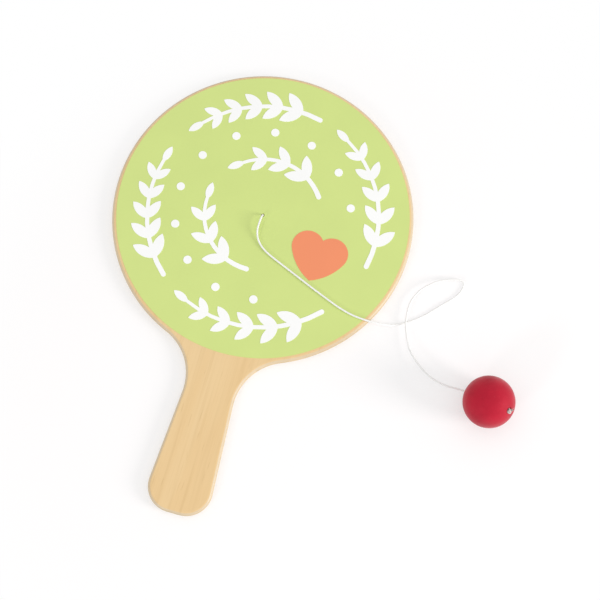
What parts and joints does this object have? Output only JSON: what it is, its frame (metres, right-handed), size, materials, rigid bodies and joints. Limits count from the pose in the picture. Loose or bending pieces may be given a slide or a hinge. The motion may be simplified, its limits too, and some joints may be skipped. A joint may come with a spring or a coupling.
{
  "type": "paddle ball game",
  "caption": "Thin wooden paddle with a printed round face and a small rubber ball tied to it by an elastic thread.",
  "frame": {"origin": "middle of the round blade, on the paddle's back face, which it lies on", "axes": "+Z out of the printed face, +Y along the paddle away from the handle, +X to the right, where the ball lies"},
  "size_m": [0.2608, 0.273, 0.03],
  "materials": {
    "face_wood": "sanded, clear matt lacquer",
    "core_wood": "sanded edge, clear matt lacquer",
    "back_wood": "sanded, clear matt lacquer",
    "green_ink": "satin screen print",
    "white_ink": "satin screen print",
    "coral_ink": "satin screen print",
    "elastic": "smooth round elastic thread",
    "ball_rubber": "matt moulded rubber"
  },
  "bodies": {
    "paddle": {"face_veneer": "face_wood", "core_ply": "core_wood", "back_veneer": "back_wood", "green_print": "green_ink", "ornament_print": "white_ink", "heart_print": "coral_ink", "back_knot": "elastic", "board_thread": "elastic"},
    "thread": {"free_thread": "elastic"},
    "thread_end": {"ball_thread": "elastic", "end_knot": "elastic"},
    "ball": {"ball": "ball_rubber"}
  },
  "joints": [
    {"name": "thread_swing", "type": "hinge", "parent": "paddle", "child": "thread", "pos_m": [0, 0, 0.005], "axis": [0, 0, 1], "range_deg": [-45, 250]},
    {"name": "ball_lift", "type": "slide", "parent": "thread", "child": "thread_end", "axis": [0, 0, 1], "range_m": [0, 0.2], "deforming": ["free_thread"]},
    {"name": "ball_spin", "type": "hinge", "parent": "thread_end", "child": "ball", "pos_m": [0.1558, -0.0748, 0.015], "axis": [0.7595, -0.2468, 0.6018], "continuous": true}
  ]
}
